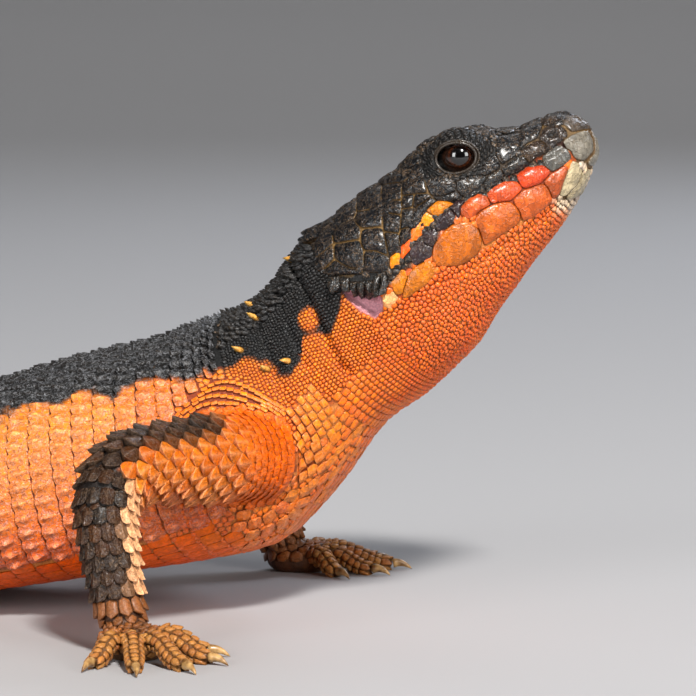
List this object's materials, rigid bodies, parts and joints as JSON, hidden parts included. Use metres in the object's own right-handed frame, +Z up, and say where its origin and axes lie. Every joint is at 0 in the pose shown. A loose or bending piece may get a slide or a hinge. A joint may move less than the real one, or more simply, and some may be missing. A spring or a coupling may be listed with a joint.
{
  "type": "mozambique girdled lizard",
  "caption": "Still life-size girdled lizard, front raised on its forelegs, head lifted, belly and spiny tail on the floor.",
  "frame": {"origin": "on the floor, under the middle of the lizard's bounding box", "axes": "+X from the tail towards the snout, +Y to the lizard's left, +Z up"},
  "size_m": [0.2982, 0.144, 0.0707],
  "materials": {
    "dark_skin": "satin",
    "orange_skin": "satin",
    "brown_skin": "satin",
    "claw": "satin horn",
    "eye": "wet gloss"
  },
  "bodies": {
    "root": {"head": "dark_skin", "lower_jaw": "orange_skin", "eye_left": "eye", "eye_right": "eye", "neck": "orange_skin", "torso_chest": "orange_skin", "torso_belly": "orange_skin", "torso_pelvis": "orange_skin", "tail_1": "brown_skin", "tail_2": "brown_skin", "tail_3": "brown_skin", "tail_4": "brown_skin", "upper_arm_left": "brown_skin", "forearm_left": "brown_skin", "hand_left": "brown_skin", "thigh_left": "brown_skin", "shin_left": "brown_skin", "foot_left": "brown_skin", "upper_arm_right": "brown_skin", "forearm_right": "brown_skin", "hand_right": "brown_skin", "thigh_right": "brown_skin", "shin_right": "brown_skin", "foot_right": "brown_skin", "claw_hand_left_1": "claw", "claw_hand_left_2": "claw", "claw_hand_left_3": "claw", "claw_hand_left_4": "claw", "claw_hand_left_5": "claw", "claw_hand_right_1": "claw", "claw_hand_right_2": "claw", "claw_hand_right_3": "claw", "claw_hand_right_4": "claw", "claw_hand_right_5": "claw", "claw_foot_left_1": "claw", "claw_foot_left_2": "claw", "claw_foot_left_3": "claw", "claw_foot_left_4": "claw", "claw_foot_left_5": "claw", "claw_foot_right_1": "claw", "claw_foot_right_2": "claw", "claw_foot_right_3": "claw", "claw_foot_right_4": "claw", "claw_foot_right_5": "claw"}
  },
  "joints": []
}
